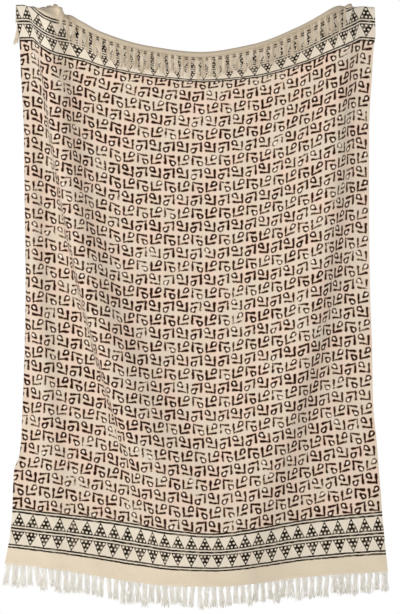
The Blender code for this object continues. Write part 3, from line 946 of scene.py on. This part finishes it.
def cotton(name, plain, print_strength):
    """Printed cotton. print_strength is 1 on the printed side and less on the back."""
    material = bpy.data.materials.new(name)
    material.use_nodes = True
    tree = material.node_tree
    shader = tree.nodes["Principled BSDF"]
    uv = tree.nodes.new("ShaderNodeUVMap")
    uv.uv_map = FLAT_MAP
    split = tree.nodes.new("ShaderNodeSeparateXYZ")
    tree.links.new(uv.outputs[0], split.inputs[0])
    across = Wire(tree, split.outputs[0]) * CLOTH_WIDTH
    down = Wire(tree, split.outputs[1]) * CLOTH_LENGTH
    plane = combine(tree, across, down)

    ink, halo, opening, wet, patches = field_ink(tree, across, down)
    border, from_middle = border_ink(tree, across, down)
    in_field = down.math("GREATER_THAN", UPPER_LINE) * down.math("LESS_THAN", LOWER_LINE)
    in_border = from_middle.math("LESS_THAN", BORDER_DEPTH / 2 + BORDER_GROUND_MARGIN)

    slub_place = combine(tree, across * SLUB_STRETCH, down)
    slubs = Wire(tree, noise(tree, slub_place, SLUB_SCALE, 3.0).outputs["Fac"])
    clouds = Wire(tree, noise(tree, plane, CLOUD_SCALE, 3.0).outputs["Fac"])
    field = blend_colour(tree, patches.rising(*GREY_PATCHES), DRY_GROUND, FIELD_GROUND)
    field = blend_colour(tree, patches.rising(*PINK_PATCHES) * PINK_STRENGTH, field, PINK_GROUND)
    ground = blend_colour(tree, in_field, plain, field)
    ground = blend_colour(tree, in_border, ground, BORDER_GROUND)
    ground = blend_colour(tree, (clouds - CLOUD_START).at_least(0.0) * CLOUD_STRENGTH, ground, CLOUD_SHADE)
    ground = blend_colour(tree, (slubs - SLUB_START).at_least(0.0) * SLUB_STRENGTH, ground, SLUB_SHADE)
    ground = blend_colour(tree, opening * OPENING_STRENGTH * print_strength, ground, RING_HOLE)
    dye = blend_colour(tree, wet.rising(*DYE_WETNESS), FADED_INK, FIELD_INK)
    hold = wet.rising(*HOLD_WETNESS)
    around = halo * wet.rising(*HALO_WETNESS) * HALO_STRENGTH * print_strength
    haloed = blend_colour(tree, around, ground, INK_HALO)
    colour = blend_colour(tree, ink * hold * print_strength, haloed, dye)
    border_wet = Wire(tree, noise(tree, plane, BORDER_WET_SCALE, 3.0).outputs["Fac"]).rising(*BORDER_WETNESS)
    border_dye = blend_colour(tree, border_wet, FADED_BORDER_INK, BORDER_INK)
    beyond = in_field.flipped().at_least(from_middle.math("LESS_THAN", BORDER_DEPTH / 2 + LINES_MARGIN))
    taken = border_wet * BORDER_FADE + (1 - BORDER_FADE)
    covered = border * in_border_or_lines(from_middle) * beyond * taken * print_strength
    colour = blend_colour(tree, covered, colour, border_dye)
    tree.links.new(colour, shader.inputs["Base Color"])

    turn = 2 * math.pi / THREAD
    warp = (across * turn).math("SINE")
    weft = (down * turn).math("SINE")
    weave = (warp * weft) * 0.5 + slubs * SLUB_RELIEF
    crinkle_place = combine(tree, across, down * CRINKLE_STRETCH)
    crinkle = Wire(tree, noise(tree, crinkle_place, CRINKLE_SCALE, 3.0).outputs["Fac"])
    fine = tree.nodes.new("ShaderNodeBump")
    fine.inputs["Strength"].default_value = 0.35
    fine.inputs["Distance"].default_value = 0.0003
    feed(tree, fine.inputs["Height"], weave)
    broad = tree.nodes.new("ShaderNodeBump")
    broad.inputs["Strength"].default_value = 0.55
    broad.inputs["Distance"].default_value = 0.004
    feed(tree, broad.inputs["Height"], crinkle)
    tree.links.new(broad.outputs[0], fine.inputs["Normal"])
    tree.links.new(fine.outputs[0], shader.inputs["Normal"])
    shader.inputs["Roughness"].default_value = 0.92
    shader.inputs["Specular IOR Level"].default_value = 0.12
    shader.inputs["Sheen Weight"].default_value = 0.06
    shader.inputs["Sheen Roughness"].default_value = 0.6
    return material


printed_face = cotton("printed cotton face", PLAIN_COTTON, 1.0)
# The back's plain ends carry painted shade, darker than the face, for the shaded roll at the top.
back_with_painted_shade = cotton("printed cotton back with painted shade", PLAIN_BACK_WITH_PAINTED_SHADE, BACK_PRINT_STRENGTH)
cloth.data.materials.append(printed_face)
cloth.data.materials.append(back_with_painted_shade)
print("nodes in the cotton:", len(printed_face.node_tree.nodes))


# %% [markdown]
# ## The yarn
#
# The fringe is the same cotton, unprinted and loosely spun, so it is paler and fuzzier than the cloth. Noise
# on Object coordinates, stretched down the strands, gives the fine streaks of loose fibre. The top fringe
# lies on the cloth and is darker and browner, which is painted shade for the shade under the rolled top; the
# bottom fringe hangs free and is nearly white.

# %% Yarn material
FIBRE_SCALE = 900.0
TUFT_SCALE = 120.0
LIT_FIBRES = (0.36, 0.60)
DOWN_STRETCH = 0.2


def yarn(name, light, shade):
    """Loose cotton yarn of a light colour, streaked with a shade."""
    material = bpy.data.materials.new(name)
    material.use_nodes = True
    tree = material.node_tree
    shader = tree.nodes["Principled BSDF"]
    place = tree.nodes.new("ShaderNodeTexCoord")
    stretch = tree.nodes.new("ShaderNodeMapping")
    stretch.inputs["Scale"].default_value = (1.0, 1.0, DOWN_STRETCH)
    tree.links.new(place.outputs["Object"], stretch.inputs["Vector"])
    fibres = Wire(tree, noise(tree, stretch.outputs[0], FIBRE_SCALE, 3.0).outputs["Fac"])
    tufts = Wire(tree, noise(tree, stretch.outputs[0], TUFT_SCALE).outputs["Fac"])
    lit = (fibres * 0.5 + tufts * 0.5).rising(*LIT_FIBRES)
    tree.links.new(blend_colour(tree, lit, shade, light), shader.inputs["Base Color"])
    fuzz = tree.nodes.new("ShaderNodeBump")
    fuzz.inputs["Strength"].default_value = 0.5
    fuzz.inputs["Distance"].default_value = 0.0004
    feed(tree, fuzz.inputs["Height"], fibres)
    tree.links.new(fuzz.outputs[0], shader.inputs["Normal"])
    shader.inputs["Roughness"].default_value = 0.95
    shader.inputs["Specular IOR Level"].default_value = 0.15
    shader.inputs["Sheen Weight"].default_value = 0.25
    shader.inputs["Sheen Roughness"].default_value = 0.5
    return material


# The top fringe's strip takes the back's painted shade, and its strands take a yarn darkened by painted
# shade.
for fringe, strip_look, strand_look in (
        (top_fringe, back_with_painted_shade, yarn("top yarn in painted shade", PAINTED_SHADE_TOP_FRINGE, PAINTED_SHADE_TOP_FRINGE_STREAK)),
        (bottom_fringe, printed_face, yarn("bottom yarn", BOTTOM_YARN, BOTTOM_YARN_SHADE))):
    fringe.data.materials.append(strip_look)
    fringe.data.materials.append(strand_look)

# %% [markdown]
# ## Who replaces what
#
# Each fine piece stands for one solid of the part, which is hidden, and rides on its one body.

# %% Ride and replace
for piece, node, slot_name in ((cloth, "cloth", "printed_cotton"),
                               (top_fringe, "top_fringe", "loose_yarn"),
                               (bottom_fringe, "bottom_fringe", "loose_yarn")):
    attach(piece, "root")
    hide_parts(node)

# %% [markdown]
# ## Floor, light and camera
#
# The throw hangs over a pale floor. A large soft lamp in front, low and to the left, models the folds, and a
# pale sky fills the shadows. The camera looks at the cloth face on through a long lens, so nothing is
# foreshortened.

# %% Floor
FLOOR_DROP = 2.30
FLOOR_RADIUS = 2.2
FLOOR_SIDES = 96
floor_turn = np.linspace(0, 2 * math.pi, FLOOR_SIDES, endpoint=False)
floor_level = np.full(FLOOR_SIDES, -FLOOR_DROP)
rim = np.stack([FLOOR_RADIUS * np.cos(floor_turn), FLOOR_RADIUS * np.sin(floor_turn), floor_level], axis=1)
floor_mesh = bpy.data.meshes.new("floor")
floor_mesh.from_pydata(rim.tolist(), [], [tuple(range(FLOOR_SIDES))])
floor = bpy.data.objects.new("floor", floor_mesh)
bpy.context.scene.collection.objects.link(floor)
floor_look = bpy.data.materials.new("pale floor")
floor_look.use_nodes = True
floor_shader = floor_look.node_tree.nodes["Principled BSDF"]
floor_shader.inputs["Base Color"].default_value = FLOOR_COLOUR
floor_shader.inputs["Roughness"].default_value = 0.8
floor_mesh.materials.append(floor_look)

# %% Sky and lamp
HORIZON_LIGHT = 0.83
ZENITH_LIGHT = 0.20
SKY_COLOUR = (1.0, 0.99, 0.98, 1.0)
WHITE = (1.0, 1.0, 1.0, 1.0)
LAMP_PLACE = (-2.1, -4.7, -1.9)
LAMP_SIZE = 2.0
LAMP_WATTS = 112
LAMP_COLOUR = (1.0, 0.985, 0.965)
CLOTH_MIDDLE = (0.0, 0.0, -1.0)
sky = bpy.data.worlds.new("pale sky")
sky.use_nodes = True
sky_tree = sky.node_tree
lighting = sky_tree.nodes["Background"]
lighting.inputs["Color"].default_value = SKY_COLOUR
direction = sky_tree.nodes.new("ShaderNodeTexCoord")
direction_split = sky_tree.nodes.new("ShaderNodeSeparateXYZ")
sky_tree.links.new(direction.outputs["Generated"], direction_split.inputs[0])
overhead = Wire(sky_tree, direction_split.outputs[2]).at_least(0.0)
strength = overhead * (ZENITH_LIGHT - HORIZON_LIGHT) + HORIZON_LIGHT
sky_tree.links.new(strength.socket, lighting.inputs["Strength"])
backdrop = sky_tree.nodes.new("ShaderNodeBackground")
backdrop.inputs["Color"].default_value = WHITE
ray = sky_tree.nodes.new("ShaderNodeLightPath")
choose = sky_tree.nodes.new("ShaderNodeMixShader")
sky_tree.links.new(ray.outputs["Is Camera Ray"], choose.inputs[0])
sky_tree.links.new(lighting.outputs[0], choose.inputs[1])
sky_tree.links.new(backdrop.outputs[0], choose.inputs[2])
sky_tree.links.new(choose.outputs[0], sky_tree.nodes["World Output"].inputs[0])
bpy.context.scene.world = sky

lamp_data = bpy.data.lights.new("window", "AREA")
lamp_data.energy = LAMP_WATTS
lamp_data.size = LAMP_SIZE
lamp_data.color = LAMP_COLOUR
lamp = bpy.data.objects.new("window", lamp_data)
lamp.location = LAMP_PLACE
aim = np.array(CLOTH_MIDDLE) - np.array(LAMP_PLACE)
lamp.rotation_euler = (math.atan2(np.hypot(aim[0], aim[1]), -aim[2]), 0.0, math.atan2(-aim[0], aim[1]))
bpy.context.scene.collection.objects.link(lamp)

# %% Camera
METRES_PER_PIXEL = 0.00343
PHOTO_WIDTH = 400
PHOTO_HEIGHT = 614
ORIGIN_PIXEL = (197.0, 4.5)
CAMERA_DISTANCE = 30.0
SENSOR = 36.0
half_height = PHOTO_HEIGHT / 2 * METRES_PER_PIXEL
camera_data = bpy.data.cameras.new("camera")
camera_data.sensor_fit = "VERTICAL"
camera_data.sensor_height = SENSOR
camera_data.lens = SENSOR / 2 * CAMERA_DISTANCE / half_height
camera = bpy.data.objects.new("camera", camera_data)
camera.location = ((PHOTO_WIDTH / 2 - ORIGIN_PIXEL[0]) * METRES_PER_PIXEL, -CAMERA_DISTANCE,
                   -(PHOTO_HEIGHT / 2 - ORIGIN_PIXEL[1]) * METRES_PER_PIXEL)
camera.rotation_euler = (math.pi / 2, 0.0, 0.0)
bpy.context.scene.collection.objects.link(camera)
bpy.context.scene.camera = camera
bpy.context.scene.view_settings.view_transform = "Standard"
